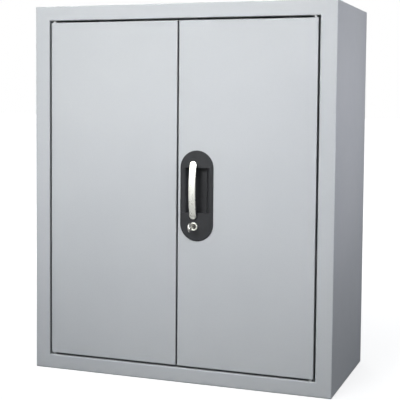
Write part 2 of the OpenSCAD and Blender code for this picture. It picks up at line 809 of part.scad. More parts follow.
// Escutcheon: a moulded shell with a raised rounded face, a finger recess with flared sides,
// a skirt inside the door, snap hooks and ribs
module dish_profile() {
    arc = [for (i = [0:bend_steps]) let (a = 90 * i / bend_steps)
        [dish_r - dish_edge + dish_edge * cos(a), dish_proud - dish_edge + dish_edge * sin(a)]];
    polygon(concat([[0, 0], [dish_r, 0]], arc, [[0, dish_proud]]));
}
module dish_face() {
    for (end = [0, 180]) rotate([0, 0, end]) translate([0, dish_span / 2, 0])
        rotate_extrude(angle = 180, $fn = round_fn) dish_profile();
    translate([0, dish_span / 2, 0]) rotate([90, 0, 0]) linear_extrude(dish_span) {
        dish_profile();
        mirror([1, 0]) dish_profile();
    }
}
// Section of the finger recess, or with a wall the section of the shell behind it
module recess_section(wall) {
    edge = recess_mouth / 2 + recess_slope * cut;
    bends = [[recess_floor / 2, dish_proud - recess_depth],
        [recess_shoulder / 2, dish_proud - shoulder_depth], [edge, dish_proud + cut]];
    path = concat([for (p = reversed(bends)) [-p[0], p[1]]], bends);
    polygon(sheet_face(path, -wall, recess_fillet, 0));
}
module recess(wall) {
    translate([0, recess_rise + recess_h / 2 + wall, 0]) rotate([90, 0, 0])
        linear_extrude(recess_h + 2 * wall) recess_section(wall);
}
module recess_shell() {
    intersection() {
        recess(dish_wall);
        slab(-door_t, 0) stadium(skirt_r, dish_span);
    }
}
module dish_ribs() {
    intersection() {
        slab(dish_wall - dish_skirt, 0) stadium(skirt_r - dish_wall / 2, dish_span);
        for (end = [-1, 1])
            translate([-dish_r, end * (dish_len / 2 - rib_inset) - dish_rib / 2, -dish_skirt])
                cube([dish_w, dish_rib, dish_skirt]);
    }
}
// Wedges outside the skirt, which hold behind the door's sheet
module snap_hooks() {
    for (side = [-1, 1]) for (y = [-snap_rise, snap_rise])
        translate([side * (skirt_r - dish_wall / 2), y, -door_sheet - slip_gap - snap_h]) rotate([90, 0, 0])
            linear_extrude(snap_len, center = true)
                polygon([[0, snap_h], [side * (dish_wall / 2 + snap_out), snap_h],
                    [side * (dish_wall / 2 + snap_out), snap_h * 2 / 3], [0, 0]]);
}
module escutcheon() {
    color([0.16, 0.17, 0.18]) on_face(dish_x, dish_z) difference() {
        union() {
            dish_face();
            difference() {
                slab(-dish_skirt, 0) stadium(skirt_r, dish_span);
                slab(-dish_skirt - cut, 0) stadium(skirt_r - dish_wall, dish_span);
            }
            recess_shell();
            dish_ribs();
            snap_hooks();
        }
        recess(0);
        translate([handle_local_x, -lock_drop, 0]) post(barrel_d + 2 * run_fit, -door_t, door_t);
        for (end = [-1, 1]) translate([handle_local_x, handle_rise + end * handle_end, 0])
            post(handle_screw_d + 2 * run_fit, -cut, door_t, small_fn);
    }
}

// Bow handle: a flat oval bar swept along an arc, turned ends and two feet on the escutcheon
module bar_half() {
    intersection() {
        bar_section();
        translate([0, -handle_t - cut]) square([handle_w, handle_t + 2 * cut]);
    }
}
module bow_end() {
    rotate_extrude(angle = 180, $fn = round_fn) bar_half();
}
module bar_section() {
    polygon(rounded_box(-handle_w / 2, -handle_t, handle_w / 2, 0, handle_edge));
}
module bow() {
    translate([0, 0, handle_proud - bow_r]) {
        rotate([0, 90, 0]) rotate([0, 0, 180 - bow_angle]) rotate_extrude(angle = 2 * bow_angle, $fn = bow_fn)
            translate([bow_r, 0]) rotate([0, 0, -90]) bar_section();
        for (end = [0, 180]) rotate([0, 0, end]) rotate([-bow_angle, 0, 0]) translate([0, 0, bow_r]) bow_end();
    }
}
module bow_handle() {
    foot_top = handle_proud - handle_bow - handle_t / 4;
    color("gainsboro") on_face(handle_x, dish_z + handle_rise) difference() {
        union() {
            bow();
            for (end = [-1, 1]) translate([0, end * handle_end, 0]) post(foot_d, dish_proud, foot_top);
        }
        translate([0, 0, dish_proud - door_t]) linear_extrude(door_t) square(2 * handle_len, center = true);
        for (end = [-1, 1]) translate([0, end * handle_end, 0])
            post(handle_screw_d + 2 * run_fit, dish_proud - cut, dish_proud + handle_screw_grip, small_fn);
    }
}
module handle_screws() {
    color("gainsboro") on_face(handle_x, dish_z + handle_rise) for (end = [-1, 1])
        translate([0, end * handle_end, 0]) {
            post(handle_screw_d, 0, dish_proud + handle_screw_grip - slip_gap, small_fn);
            post(handle_head_d, -handle_head_h, 0, small_fn);
        }
}

// Lock: collar and barrel, turning plug with its spindle, key and swing bolt
module on_lock() {
    on_face(handle_x, lock_z) children();
}
module lock_barrel() {
    bore = plug_hole_d / 2;
    rim = lock_collar_d / 2;
    color("gainsboro") on_lock() rotate_extrude($fn = round_fn)
        polygon([[bore, -barrel_back], [barrel_d / 2, -barrel_back], [barrel_d / 2, dish_proud],
            [rim, dish_proud], [rim, lock_face - collar_chamfer], [rim - collar_chamfer, lock_face],
            [bore + plug_inset, lock_face], [bore, lock_face - plug_inset]]);
}
module lock_nut() {
    color("gainsboro") on_lock() difference() {
        post(nut_af / cos(30), -nut_t, 0, 6);
        post(barrel_d + 2 * run_fit, -nut_t - cut, cut);
    }
}
// Round bar with two flats, which turns whatever sits on it
module flatted(play) {
    intersection() {
        circle(d = spindle_d + 2 * play, $fn = small_fn);
        square([spindle_flat + 2 * play, spindle_d + 2], center = true);
    }
}
module lock_plug() {
    color("silver") on_lock() difference() {
        union() {
            post(plug_d, -barrel_back, lock_face - plug_inset);
            slab(-cover_back - cover_t - spindle_past, cut - barrel_back) flatted(0);
        }
        translate([-key_t / 2 - run_fit, -key_blade / 2 - run_fit, keyway_end - barrel_back])
            cube([key_t + 2 * run_fit, key_blade + 2 * run_fit, barrel_back + lock_face]);
    }
}
module key_outline() {
    head_y = lock_face + key_out - key_head_d / 2;
    neck_y = lock_face + slip_gap;
    difference() {
        union() {
            translate([head_y, 0]) circle(d = key_head_d, $fn = round_fn);
            translate([key_tip, -key_blade / 2]) square([head_y - key_tip, key_blade]);
            translate([neck_y, -key_blade / 2 - key_shoulder])
                square([head_y - neck_y, key_blade + 2 * key_shoulder]);
        }
        translate([head_y + key_head_d / 4, 0]) circle(d = key_ring_d, $fn = small_fn);
        for (i = [0:key_cuts - 1])
            translate([key_tip + key_cut_size + key_cut_pitch * i, -key_blade / 2 - key_cut_size / 4])
                rotate(45) square(key_cut_size + key_cut_step * (i * 2 % 3), center = true);
    }
}
module key() {
    color("lightgray") on_lock() translate([-key_t / 2, 0, 0]) rotate([0, -90, 0]) mirror([0, 0, 1])
        linear_extrude(key_t) key_outline();
}
module swing_bolt() {
    color("gainsboro") on_lock() difference() {
        slab(-bolt_back - bolt_t, -bolt_back) {
            circle(d = bolt_w, $fn = round_fn);
            translate([0, bolt_tip_w / 2 - bolt_reach]) circle(d = bolt_tip_w, $fn = round_fn);
            polygon([[-bolt_w / 2, 0], [-bolt_tip_w / 2, bolt_tip_w / 2 - bolt_reach],
                [bolt_tip_w / 2, bolt_tip_w / 2 - bolt_reach], [bolt_w / 2, 0]]);
        }
        slab(-bolt_back - bolt_t - cut, -bolt_back + cut) flatted(run_fit);
    }
}

// Gear: the pinion on the spindle and one rack on each side of it
function tooth_half(r) =
    let (base = pitch_r * cos(pressure))
    90 / pinion_teeth - backlash / (4 * pitch_r) * 180 / PI + involute(pressure)
        - (r > base ? involute(acos(base / r)) : 0);
module pinion_outline() {
    base = pitch_r * cos(pressure);
    tip = pitch_r + addendum;
    radii = concat([pitch_r - dedendum],
        [for (i = [0:bend_steps]) base + (tip - base) * i / bend_steps]);
    polygon([for (k = [0:pinion_teeth - 1]) let (a = 360 * k / pinion_teeth)
        each concat([for (r = radii) r * [cos(a - tooth_half(r)), sin(a - tooth_half(r))]],
            [for (r = reversed(radii)) r * [cos(a + tooth_half(r)), sin(a + tooth_half(r))]])]);
}
module pinion() {
    color("gainsboro") on_lock() difference() {
        slab(-gear_rear, -gear_front) pinion_outline();
        slab(-gear_rear - cut, -gear_front + cut) flatted(run_fit);
    }
}
function rack_half(u) = tooth_pitch / 4 - backlash / 4 - u * tan(pressure);
// Toothed edge with its pitch line on x = 0, and a gap between teeth at y = 0
module rack_outline() {
    polygon(concat(
        [[-rack_back, -rack_run], [-dedendum, -rack_run]],
        [for (k = [-rack_teeth_run:rack_teeth_end - 1]) let (mid = (k + 0.5) * tooth_pitch)
            each [[-dedendum, mid - rack_half(-dedendum)], [addendum, mid - rack_half(addendum)],
                [addendum, mid + rack_half(addendum)], [-dedendum, mid + rack_half(-dedendum)]]],
        [[-dedendum, rack_end], [-dedendum, arm_start], [pitch_r + rod_offset + socket_d / 2, arm_start],
            [pitch_r + rod_offset + socket_d / 2, arm_top], [-rack_back, arm_top]]));
}
module rack() {
    translate([0, 0, -gear_back]) difference() {
        union() {
            translate([-pitch_r, 0, -gear_t / 2]) linear_extrude(gear_t) rack_outline();
            translate([rod_offset, arm_top - cut, 0]) rotate([-90, 0, 0])
                cylinder(h = socket_h + cut, d = socket_d, $fn = round_fn);
        }
        translate([rod_offset, arm_top, 0]) rotate([-90, 0, 0])
            cylinder(h = socket_h + cut, d = rod_end_d + 2 * run_fit, $fn = small_fn);
    }
}
// A rod with its thin end in the socket and a chamfered tip, lengths counted from the lock
module rod(length) {
    start = arm_top + socket_h;
    translate([rod_offset, 0, -gear_back]) rotate([-90, 0, 0]) rotate_extrude($fn = round_fn)
        polygon([[0, arm_top + slip_gap], [rod_end_d / 2, arm_top + slip_gap], [rod_end_d / 2, start],
            [rod_d / 2, start], [rod_d / 2, length - rod_chamfer], [rod_d / 2 - rod_chamfer, length],
            [0, length]]);
}
module top_rack() {
    color("darkgray") on_lock() rack();
}
module top_rod() {
    color("gainsboro") on_lock() rod(open_high - rod_clear - lock_z);
}
module bottom_rack() {
    color("darkgray") on_lock() rotate([0, 0, 180]) rack();
}
module bottom_rod() {
    color("gainsboro") on_lock() rotate([0, 0, 180]) rod(lock_z - open_low - rod_clear);
}
module spindle_clip() {
    low = -gear_rear - slip_gap - ring_t;
    color("dimgray") on_lock() difference() {
        post(spindle_d + 2 * ring_w, low, low + ring_t, small_fn);
        slab(low - cut, low + ring_t + cut) flatted(run_fit);
    }
}

// Lock plate, rack guides and cover on the door's rear
module plate_screw_places() {
    lip_x = door_inner + door_lip / 2 - handle_x;
    for (x = [lip_x, channel_x - handle_x]) for (y = [-1, 1])
        translate([x, y * (plate_h / 2 - plate_screw_inset), 0]) children();
}
module lock_plate() {
    color("gainsboro") on_lock() difference() {
        slab(-plate_back, -door_t)
            polygon(rounded_box(plate_left - handle_x, -plate_h / 2, plate_right - handle_x, plate_h / 2,
                plate_corner));
        post(spindle_d + 2 * run_fit, -plate_back - cut, -door_t + cut, small_fn);
        plate_screw_places() post(plate_screw_d + screw_play, -plate_back - cut, -door_t + cut, small_fn);
    }
}
module lock_plate_screws() {
    color("gainsboro") on_lock() plate_screw_places() {
        post(plate_head_d, -plate_back - plate_head_h, -plate_back, small_fn);
        post(plate_screw_d, -plate_back - plate_head_h / 2, -door_t, small_fn);
    }
}
module cover_screw_places() {
    for (x = [-1, 1]) for (y = [-1, 1])
        translate([x * (guide_x + rack_guide_w / 2 - guide_wrap / 2), y * (case_h / 2 - cover_screw_inset), 0])
            children();
}
// Each guide wraps the smooth edge of a rack
module rack_guide() {
    slot = gear_t / 2 + rack_play;
    difference() {
        translate([guide_x - guide_wrap - slip_gap, -case_h / 2, -cover_back])
            cube([rack_guide_w + guide_wrap + slip_gap, case_h, cover_back - plate_back]);
        translate([guide_x - guide_wrap - slip_gap - cut, -case_h / 2 - cut, -gear_back - slot])
            cube([guide_wrap + slip_gap + cut, case_h + 2 * cut, 2 * slot]);
    }
}
module rack_guides() {
    color("ivory") on_lock() difference() {
        both_ways([1, 0, 0]) rack_guide();
        cover_screw_places()
            post(small_screw_d + screw_play, -cover_back - cut, small_grip + cut - cover_back, small_fn);
    }
}
module rack_cover() {
    half_w = guide_x + rack_guide_w;
    color("gainsboro") on_lock() difference() {
        slab(-cover_back - cover_t, -cover_back)
            polygon(rounded_box(-half_w, -case_h / 2, half_w, case_h / 2, plate_corner));
        post(spindle_d + 2 * run_fit, -cover_back - cover_t - cut, -cover_back + cut, small_fn);
        cover_screw_places()
            post(small_screw_d + screw_play, -cover_back - cover_t - cut, cut - cover_back, small_fn);
    }
}
// A small screw with its head on a face at a depth behind the door's face
module small_screw(face, tip) {
    post(small_head_d, -face - small_head_h, -face, small_fn);
    post(small_screw_d, -face - small_head_h / 2, -tip, small_fn);
}
module cover_screws() {
    color("gainsboro") on_lock() cover_screw_places()
        small_screw(cover_back + cover_t, cover_back - small_grip);
}
// Rod guides on the door's upper and lower lips
module guide_screw_places() {
    for (side = [-1, 1]) translate([side * (guide_w / 2 - guide_screw_inset), 0, 0]) children();
}
module rod_guide(x, z) {
    on_face(x, z) difference() {
        translate([-guide_w / 2, -guide_h / 2, -guide_low]) cube([guide_w, guide_h, guide_low - door_t]);
        translate([0, guide_h / 2 + cut, -gear_back]) rotate([90, 0, 0])
            cylinder(h = guide_h + 2 * cut, d = rod_d + 2 * run_fit, $fn = round_fn);
        guide_screw_places()
            post(small_screw_d + screw_play, -guide_low - cut, cut - door_t, small_fn);
    }
}
module rod_guides() {
    color("ivory") {
        rod_guide(handle_x + rod_offset, door_high - door_lip / 2);
        rod_guide(handle_x - rod_offset, door_low + door_lip / 2);
    }
}
module rod_guide_screw_pair(x, z) {
    on_face(x, z) guide_screw_places() small_screw(guide_low, door_t);
}
module rod_guide_screws() {
    color("gainsboro") {
        rod_guide_screw_pair(handle_x + rod_offset, door_high - door_lip / 2);
        rod_guide_screw_pair(handle_x - rod_offset, door_low + door_lip / 2);
    }
}

left_side();
right_side();
top_panel();
bottom_panel();
back_panel();
left_uprights();
right_uprights();
lower_shelf();
upper_shelf();
shelf_clips();
top_stop_rail();
bottom_stop_rail();
catch_cases();
catch_poles();
rubber_bumpers();
hinge_pins();
left_door_panel();
left_door_stiffener();
left_hinge_bushes();
left_strike_plate();
right_door_panel();
right_door_stiffener();
right_hinge_bushes();
right_strike_plate();
lock_channel();
escutcheon();
bow_handle();
handle_screws();
lock_barrel();
lock_nut();
lock_plate();
lock_plate_screws();
rack_guides();
rack_cover();
cover_screws();
rod_guides();
rod_guide_screws();
lock_plug();
key();
swing_bolt();
pinion();
spindle_clip();
top_rack();
top_rod();
bottom_rack();
bottom_rod();
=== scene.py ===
import json
import math

import bpy
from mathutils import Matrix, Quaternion, Vector


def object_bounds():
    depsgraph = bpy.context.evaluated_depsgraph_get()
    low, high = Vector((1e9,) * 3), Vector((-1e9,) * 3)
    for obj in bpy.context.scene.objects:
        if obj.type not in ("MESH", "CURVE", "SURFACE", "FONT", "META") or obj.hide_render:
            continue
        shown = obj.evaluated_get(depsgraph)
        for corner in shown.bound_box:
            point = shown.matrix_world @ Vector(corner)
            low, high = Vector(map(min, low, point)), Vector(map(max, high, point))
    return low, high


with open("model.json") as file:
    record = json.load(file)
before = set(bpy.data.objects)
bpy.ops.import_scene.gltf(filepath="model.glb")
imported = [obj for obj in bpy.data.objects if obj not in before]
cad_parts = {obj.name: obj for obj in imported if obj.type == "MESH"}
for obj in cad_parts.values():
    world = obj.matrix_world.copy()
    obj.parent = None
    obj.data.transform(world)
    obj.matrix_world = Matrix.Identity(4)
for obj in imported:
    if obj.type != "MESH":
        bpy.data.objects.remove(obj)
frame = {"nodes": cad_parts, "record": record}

cad_low, cad_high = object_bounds()
scene = bpy.context.scene
scene.view_settings.view_transform = "Standard"

# The body stands in the middle of the frame; only the handle and the key pass its face
RIGHT, REAR, TOP = cad_high
FACE = -REAR
MIDDLE = TOP / 2
UPPER = 0.75 * TOP


def looking(along):
    """The turn of a camera or lamp that looks along a direction, its top upwards."""
    return along.to_track_quat("-Z", "Y")


# ---------------------------------------------------------------- camera
# Fitted to the cabinet's edges in the photograph; metres and degrees
CAMERA_PLACE = Vector((0.7483, -2.0755, 0.6003))
CAMERA_YAW = 19.97
CAMERA_PITCH = 3.52
CAMERA_ROLL = 0.48
# Millimetres
CAMERA_LENS = 88.56
CAMERA_SENSOR = 36
# A share of the picture. The photograph's own shift is larger, but turned views keep the
# shift and would lose the cabinet's upper half.
CAMERA_SHIFT_Y = -0.10
CAMERA_CLIP_START = 0.05
CAMERA_CLIP_END = 100

yaw, pitch, roll = (math.radians(a) for a in (CAMERA_YAW, CAMERA_PITCH, CAMERA_ROLL))
ahead = Vector((-math.sin(yaw) * math.cos(pitch), math.cos(yaw) * math.cos(pitch),
                -math.sin(pitch)))
camera = bpy.data.objects.new("photo_camera", bpy.data.cameras.new("photo_camera"))
scene.collection.objects.link(camera)
scene.camera = camera
camera.location = CAMERA_PLACE
camera.rotation_euler = (looking(ahead) @ Quaternion((0, 0, 1), roll)).to_euler()
camera.data.lens = CAMERA_LENS
camera.data.sensor_width = CAMERA_SENSOR
camera.data.shift_y = CAMERA_SHIFT_Y
camera.data.clip_start = CAMERA_CLIP_START
camera.data.clip_end = CAMERA_CLIP_END


# ---------------------------------------------------------------- lamps
def area_lamp(name, place, aim, width, height, spread, watts, colour=(1, 1, 1)):
    """A rectangular lamp that faces aim; metres, and degrees for the spread."""
    lamp = bpy.data.lights.new(name, "AREA")
    lamp.shape = "RECTANGLE"
    lamp.size = width
    lamp.size_y = height
    lamp.spread = math.radians(spread)
    lamp.energy = watts
    lamp.color = colour
    holder = bpy.data.objects.new(name, lamp)
    scene.collection.objects.link(holder)
    holder.location = place
    holder.rotation_euler = looking(Vector(aim) - Vector(place)).to_euler()


OPEN_SPREAD = 180
# The doors, brighter at the top
area_lamp("key_light", place=(-0.5, -2.0, 2.1), aim=(0, 0, MIDDLE), width=1.8, height=1.4,
          spread=OPEN_SPREAD, watts=24.7)
area_lamp("upper_light", place=(-0.4, -2.0, 1.5), aim=(0, FACE, UPPER), width=1.2, height=0.8,
          spread=40, watts=2.4)
# The right side, slightly bluer than the front
area_lamp("side_light", place=(2.2, -0.5, 1.3), aim=(RIGHT, 0, UPPER), width=0.6, height=0.6,
          spread=30, watts=0.98, colour=(0.94, 0.925, 1))
# The rear, for turned views
area_lamp("back_light", place=(-0.9, 2.6, 1.8), aim=(0, REAR, 0.45), width=1.6, height=1.6,
          spread=OPEN_SPREAD, watts=22)


# ---------------------------------------------------------------- node helpers
def put(tree, kind, inputs=None, **settings):
    """A new node; each input is linked to a socket or set to a value."""
    node = tree.nodes.new(kind)
    for key, value in settings.items():
        setattr(node, key, value)
    for key, value in (inputs or {}).items():
        if hasattr(value, "is_linked"):
            tree.links.new(value, node.inputs[key])
        else:
            node.inputs[key].default_value = value
    return node


def between(tree, value, low, high, to_low, to_high):
    """value's span low..high mapped to to_low..to_high and clamped."""
    return put(tree, "ShaderNodeMapRange", {"Value": value, "From Min": low, "From Max": high,
                                            "To Min": to_low, "To Max": to_high}).outputs[0]


def maths(tree, operation, first, second):
    return put(tree, "ShaderNodeMath", {0: first, 1: second}, operation=operation).outputs[0]


def by_ray(tree, seen, mirrored, rest):
    """One shader for camera rays, one for glossy rays and one for all others."""
    path = put(tree, "ShaderNodeLightPath").outputs
    unseen = put(tree, "ShaderNodeMixShader", {0: path["Is Glossy Ray"], 1: rest.outputs[0],
                                               2: mirrored.outputs[0]})
    return put(tree, "ShaderNodeMixShader", {0: path["Is Camera Ray"], 1: unseen.outputs[0],
                                             2: seen.outputs[0]}).outputs[0]


# ---------------------------------------------------------------- world
WHITE = (1, 1, 1, 1)
AMBIENT = 0.35
AMBIENT_COLOUR = (0.93, 0.99, 1.08, 1)
# What polished surfaces find in front of the cabinet and behind it, and the span of the
# direction's Y over which the one turns into the other
STUDIO_FRONT = 1.0
STUDIO_BACK = 0.25
FRONT_UP_TO = -0.2
BACK_FROM = 0.6

world = bpy.data.worlds.new("studio")
scene.world = world
world.use_nodes = True
tree = world.node_tree
tree.nodes.clear()
direction = put(tree, "ShaderNodeTexCoord").outputs["Generated"]
depth = put(tree, "ShaderNodeSeparateXYZ", {0: direction}).outputs["Y"]
white = put(tree, "ShaderNodeBackground", {"Color": WHITE, "Strength": 1})
studio = put(tree, "ShaderNodeBackground", {
    "Color": WHITE,
    "Strength": between(tree, depth, FRONT_UP_TO, BACK_FROM, STUDIO_FRONT, STUDIO_BACK)})
ambient = put(tree, "ShaderNodeBackground", {"Color": AMBIENT_COLOUR, "Strength": AMBIENT})
put(tree, "ShaderNodeOutputWorld", {
    "Surface": by_ray(tree, seen=white, mirrored=studio, rest=ambient)})

# ---------------------------------------------------------------- floor
FLOOR_SPAN = 60
# Its paint for the camera, which takes the cabinet's shadow, and its paint for bounced light
FLOOR_SEEN = (0.30, 0.30, 0.30, 1)
FLOOR_BOUNCE = (0.06, 0.06, 0.062, 1)
# Its own light close to the cabinet and far from it, and the two distances; the weaker light close
# to the cabinet is painted shade around it, so that its shadow shows
SHADED_GLOW_NEAR = 0.80
GLOW_FAR = 1.0
NEAR = 0.35
FAR = 1.6
# What polished surfaces find on it far in front and close in front, and the two places on Y
MIRRORED_FAR = 0.95
MIRRORED_NEAR = 0.52
FAR_IN_FRONT = -2.6
CLOSE_IN_FRONT = -0.7
# The share of that which is left behind the face, and where on Y it starts and ends to fall
MIRRORED_BEHIND = 0.2
FALL_FROM = -0.4
FALL_TO = 0.1

floor_mesh = bpy.data.meshes.new("floor")
half = FLOOR_SPAN / 2
floor_mesh.from_pydata([(-half, -half, 0), (half, -half, 0), (half, half, 0), (-half, half, 0)],
                       [], [(0, 1, 2, 3)])
floor = bpy.data.objects.new("floor", floor_mesh)
scene.collection.objects.link(floor)

floor_paint = bpy.data.materials.new("floor_paint")
floor_mesh.materials.append(floor_paint)
floor_paint.use_nodes = True
tree = floor_paint.node_tree
tree.nodes.clear()
place = put(tree, "ShaderNodeTexCoord").outputs["Object"]
away = put(tree, "ShaderNodeVectorMath", {0: place}, operation="LENGTH").outputs["Value"]
along = put(tree, "ShaderNodeSeparateXYZ", {0: place}).outputs["Y"]
shaded = put(tree, "ShaderNodeBsdfDiffuse", {"Color": FLOOR_SEEN})
# Painted shade: the floor glows less close to the cabinet
glow = put(tree, "ShaderNodeEmission", {
    "Color": WHITE, "Strength": between(tree, away, NEAR, FAR, SHADED_GLOW_NEAR, GLOW_FAR)})
lit = put(tree, "ShaderNodeAddShader", {0: shaded.outputs[0], 1: glow.outputs[0]})
in_front = between(tree, along, FAR_IN_FRONT, CLOSE_IN_FRONT, MIRRORED_FAR, MIRRORED_NEAR)
left_over = between(tree, along, FALL_FROM, FALL_TO, 1, MIRRORED_BEHIND)
mirrored = put(tree, "ShaderNodeEmission", {
    "Color": WHITE, "Strength": maths(tree, "MULTIPLY", in_front, left_over)})
bounce = put(tree, "ShaderNodeBsdfDiffuse", {"Color": FLOOR_BOUNCE})
put(tree, "ShaderNodeOutputMaterial", {
    "Surface": by_ray(tree, seen=lit, mirrored=mirrored, rest=bounce)})

# ---------------------------------------------------------------- surface building blocks
# Nearly all values of a noise lie in this span
NOISE_LOW = 0.3
NOISE_HIGH = 0.7
EDGE_SAMPLES = 4
GAP_SAMPLES = 6


def start(name):
    """A new material, its node tree, its shader and the place on the piece, in metres."""
    material = bpy.data.materials.new(name)
    material.use_nodes = True
    tree = material.node_tree
    shader = tree.nodes["Principled BSDF"]
    place = put(tree, "ShaderNodeTexCoord").outputs["Object"]
    return material, tree, shader, place


def noise(tree, place, scale, detail=2.0, rough=0.5, stretch=None):
    """Soft noise; an axis with a small stretch gets long streaks."""
    if stretch:
        place = put(tree, "ShaderNodeMapping", {"Vector": place, "Scale": stretch}).outputs[0]
    return put(tree, "ShaderNodeTexNoise", {"Vector": place, "Scale": scale, "Detail": detail,
                                            "Roughness": rough}).outputs["Fac"]


def cells(tree, place, scale, output="Distance"):
    return put(tree, "ShaderNodeTexVoronoi", {"Vector": place, "Scale": scale}).outputs[output]


def across(tree, value, to_low, to_high):
    """A noise's usual span mapped to to_low..to_high."""
    return between(tree, value, NOISE_LOW, NOISE_HIGH, to_low, to_high)


def mixed(tree, share, first, second):
    return put(tree, "ShaderNodeMix", {0: share, 6: first, 7: second},
               data_type="RGBA").outputs[2]


def laid_on(tree, base, colour, where, none, full, most=1.0):
    """base, with colour over it where the mask has left the value none and nears full."""
    return mixed(tree, between(tree, where, none, full, 0.0, most), base, colour)


def edge_mask(tree, radius, full_at):
    """0 on flats, rising to 1 within radius of an edge."""
    rounded = put(tree, "ShaderNodeBevel", {"Radius": radius}, samples=EDGE_SAMPLES).outputs[0]
    flat = put(tree, "ShaderNodeNewGeometry").outputs["Normal"]
    agree = put(tree, "ShaderNodeVectorMath", {0: rounded, 1: flat},
                operation="DOT_PRODUCT").outputs["Value"]
    return between(tree, agree, 1.0, full_at, 0.0, 1.0)


def openness(tree, distance):
    """1 on open surfaces, falling where others stand closer than distance, as in a gap; the mask
    for the painted shade in gaps.
    """
    return put(tree, "ShaderNodeAmbientOcclusion", {"Distance": distance},
               samples=GAP_SAMPLES).outputs["AO"]


def feed(tree, shader, socket, value):
    tree.links.new(value, shader.inputs[socket])


def relief(height, depth, strength):
    """One layer for bumps; its depth is in metres."""
    return {"Height": height, "Distance": depth, "Strength": strength}


def bumps(tree, shader, *layers):
    """Lays the reliefs one over the other, the first one lowest."""
    under = {}
    for layer in layers:
        under = {"Normal": put(tree, "ShaderNodeBump", {**layer, **under}).outputs[0]}
    feed(tree, shader, "Normal", under["Normal"])


# ---------------------------------------------------------------- finishes
# Scales are in waves per metre, radii and depths in metres
def powder_coat():
    """Grey powder paint: clouds, specks, pale edges, painted shade in the gaps and fine orange
    peel.
    """
    dull, clear = (0.562, 0.583, 0.596, 1), (0.592, 0.612, 0.622, 1)
    speck_grey, worn = (0.44, 0.46, 0.48, 1), (0.70, 0.715, 0.725, 1)
    painted_gap_shade = (0.12, 0.125, 0.13, 1)
    material, tree, shader, place = start("powder_coat")
    cloud = noise(tree, place, scale=3.2, detail=3.0, rough=0.55)
    speck = noise(tree, place, scale=1500, detail=1.0)
    wear = maths(tree, "MULTIPLY", edge_mask(tree, radius=0.0012, full_at=0.92),
                 noise(tree, place, scale=60, detail=4.0, rough=0.65))
    base = laid_on(tree, dull, clear, cloud, none=0.35, full=0.65)
    base = laid_on(tree, base, speck_grey, speck, none=0.45, full=0.30, most=0.22)
    base = laid_on(tree, base, worn, wear, none=0.35, full=0.75, most=0.45)
    # Painted shade: the paint turns near-black where other parts stand close, as in the gaps
    # between the doors and the frame
    base = laid_on(tree, base, painted_gap_shade, openness(tree, distance=0.012),
                   none=0.60, full=0.25, most=0.68)
    feed(tree, shader, "Base Color", base)
    patches = noise(tree, place, scale=26, detail=4.0, rough=0.6)
    feed(tree, shader, "Roughness", maths(tree, "ADD", across(tree, patches, 0.40, 0.50),
                                          across(tree, speck, -0.02, 0.02)))
    shader.inputs["Specular IOR Level"].default_value = 0.3
    bumps(tree, shader,
          relief(noise(tree, place, scale=5.0, detail=1.0, rough=0.4), depth=0.0040, strength=0.10),
          relief(noise(tree, place, scale=420), depth=0.00010, strength=0.55),
          relief(noise(tree, place, scale=1900, detail=1.0), depth=0.00003, strength=0.35))
    return material


def zinc_plate():
    """Zinc plated steel: small flakes, a yellowish bloom and rolling lines."""
    dull, clear, bloom = (0.58, 0.60, 0.62, 1), (0.70, 0.71, 0.71, 1), (0.66, 0.63, 0.54, 1)
    material, tree, shader, place = start("zinc_plate")
    flake = cells(tree, place, scale=260, output="Color")
    grey = put(tree, "ShaderNodeSeparateColor", {0: flake}).outputs[0]
    cloud = noise(tree, place, scale=38, detail=5.0, rough=0.6)
    base = laid_on(tree, dull, clear, grey, none=0.0, full=1.0)
    base = laid_on(tree, base, bloom, cloud, none=0.55, full=0.75, most=0.35)
    feed(tree, shader, "Base Color", base)
    shader.inputs["Metallic"].default_value = 1
    feed(tree, shader, "Roughness", maths(tree, "ADD", across(tree, cloud, 0.24, 0.42),
                                          between(tree, grey, 0, 1, -0.03, 0.03)))
    rolled = noise(tree, place, scale=300, detail=3.0, rough=0.6, stretch=(1, 1, 0.08))
    bumps(tree, shader,
          relief(rolled, depth=0.00004, strength=0.5),
          relief(noise(tree, place, scale=900), depth=0.00003, strength=0.4))
    return material


def gear_steel():
    """Oiled dark steel with bright worn edges and cutting lines."""
    oiled, dry, worn = (0.30, 0.295, 0.285, 1), (0.44, 0.44, 0.43, 1), (0.62, 0.62, 0.61, 1)
    material, tree, shader, place = start("gear_steel")
    oil = noise(tree, place, scale=70, detail=4.0, rough=0.6)
    base = laid_on(tree, oiled, dry, oil, none=0.35, full=0.65)
    base = laid_on(tree, base, worn, edge_mask(tree, radius=0.0006, full_at=0.9),
                   none=0.2, full=1.0, most=0.7)
    feed(tree, shader, "Base Color", base)
    shader.inputs["Metallic"].default_value = 1
    feed(tree, shader, "Roughness", across(tree, oil, 0.20, 0.44))
    bumps(tree, shader,
          relief(noise(tree, place, scale=700, stretch=(1, 0.05, 1)), depth=0.00005, strength=0.6),
          relief(noise(tree, place, scale=1600, detail=1.0), depth=0.00002, strength=0.4))
    return material


def black_plastic():
    """Moulded plastic with a leathery grain and slightly paler edges."""
    dark, light, worn = (0.019, 0.020, 0.022, 1), (0.027, 0.028, 0.031, 1), (0.085, 0.088, 0.094, 1)
    material, tree, shader, place = start("black_plastic")
    cloud = noise(tree, place, scale=45, detail=4.0, rough=0.6)
    base = laid_on(tree, dark, light, cloud, none=NOISE_LOW, full=NOISE_HIGH)
    base = laid_on(tree, base, worn, edge_mask(tree, radius=0.0012, full_at=0.93),
                   none=0.15, full=1.0, most=0.35)
    feed(tree, shader, "Base Color", base)
    patches = noise(tree, place, scale=120, detail=4.0, rough=0.6)
    feed(tree, shader, "Roughness", across(tree, patches, 0.40, 0.54))
    shader.inputs["Specular IOR Level"].default_value = 0.33
    bumps(tree, shader,
          relief(cells(tree, place, scale=1300), depth=0.00005, strength=0.45),
          relief(noise(tree, place, scale=2600), depth=0.00002, strength=0.4))
    return material


